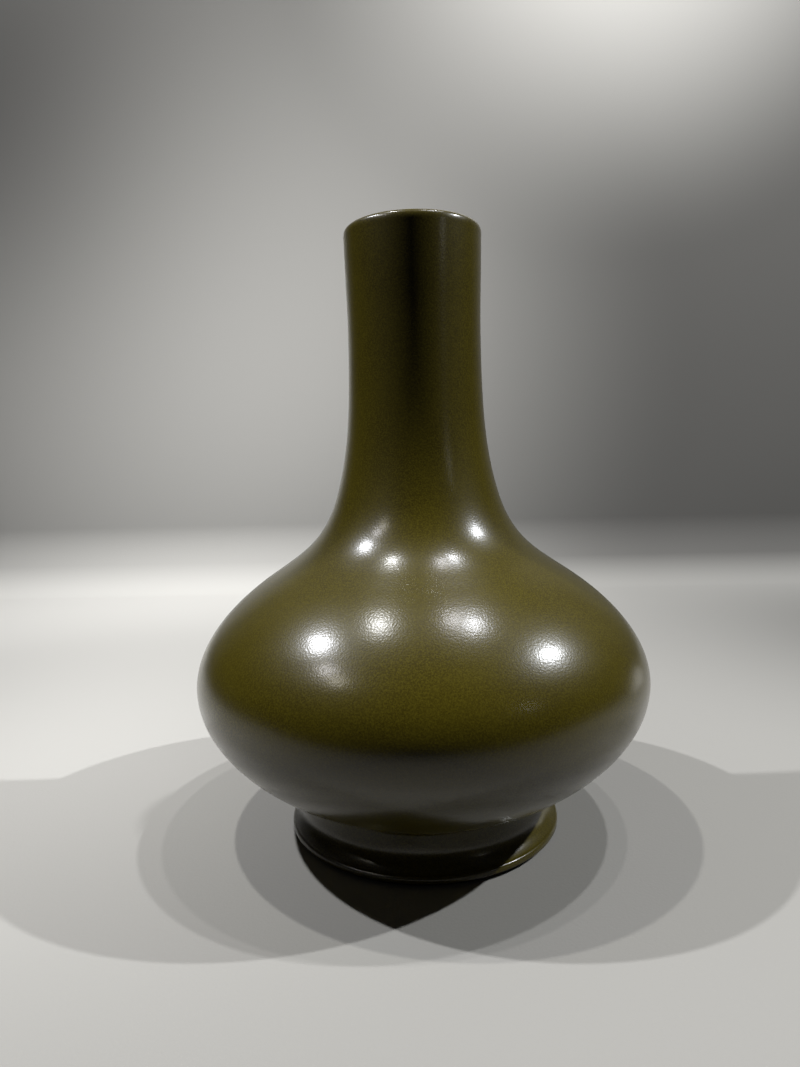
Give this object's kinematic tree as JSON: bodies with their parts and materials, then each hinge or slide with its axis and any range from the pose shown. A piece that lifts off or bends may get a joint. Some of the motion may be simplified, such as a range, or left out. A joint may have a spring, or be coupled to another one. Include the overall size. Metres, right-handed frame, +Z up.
{
  "type": "water chestnut vase",
  "caption": "Squat round-bodied ceramic vase with a long plain neck on a splayed foot ring, glazed speckled olive inside and out.",
  "frame": {"origin": "centre of the circle that the foot stands on, at the floor", "axes": "+Z up along the vase's turning axis; +X and +Y are free, because the vase is round"},
  "size_m": [0.249, 0.249, 0.33],
  "materials": {
    "olive_glaze": "glossy",
    "clay": "matte",
    "washed_clay": "matte",
    "slip": "matte"
  },
  "bodies": {
    "root": {"foot_ring": "washed_clay", "lower_body": "clay", "upper_body": "clay", "neck": "clay", "foot_luting_slip": "slip", "belly_luting_slip": "slip", "neck_luting_slip": "slip", "outer_glaze": "olive_glaze", "inner_glaze": "olive_glaze", "base_glaze": "olive_glaze"}
  },
  "joints": []
}
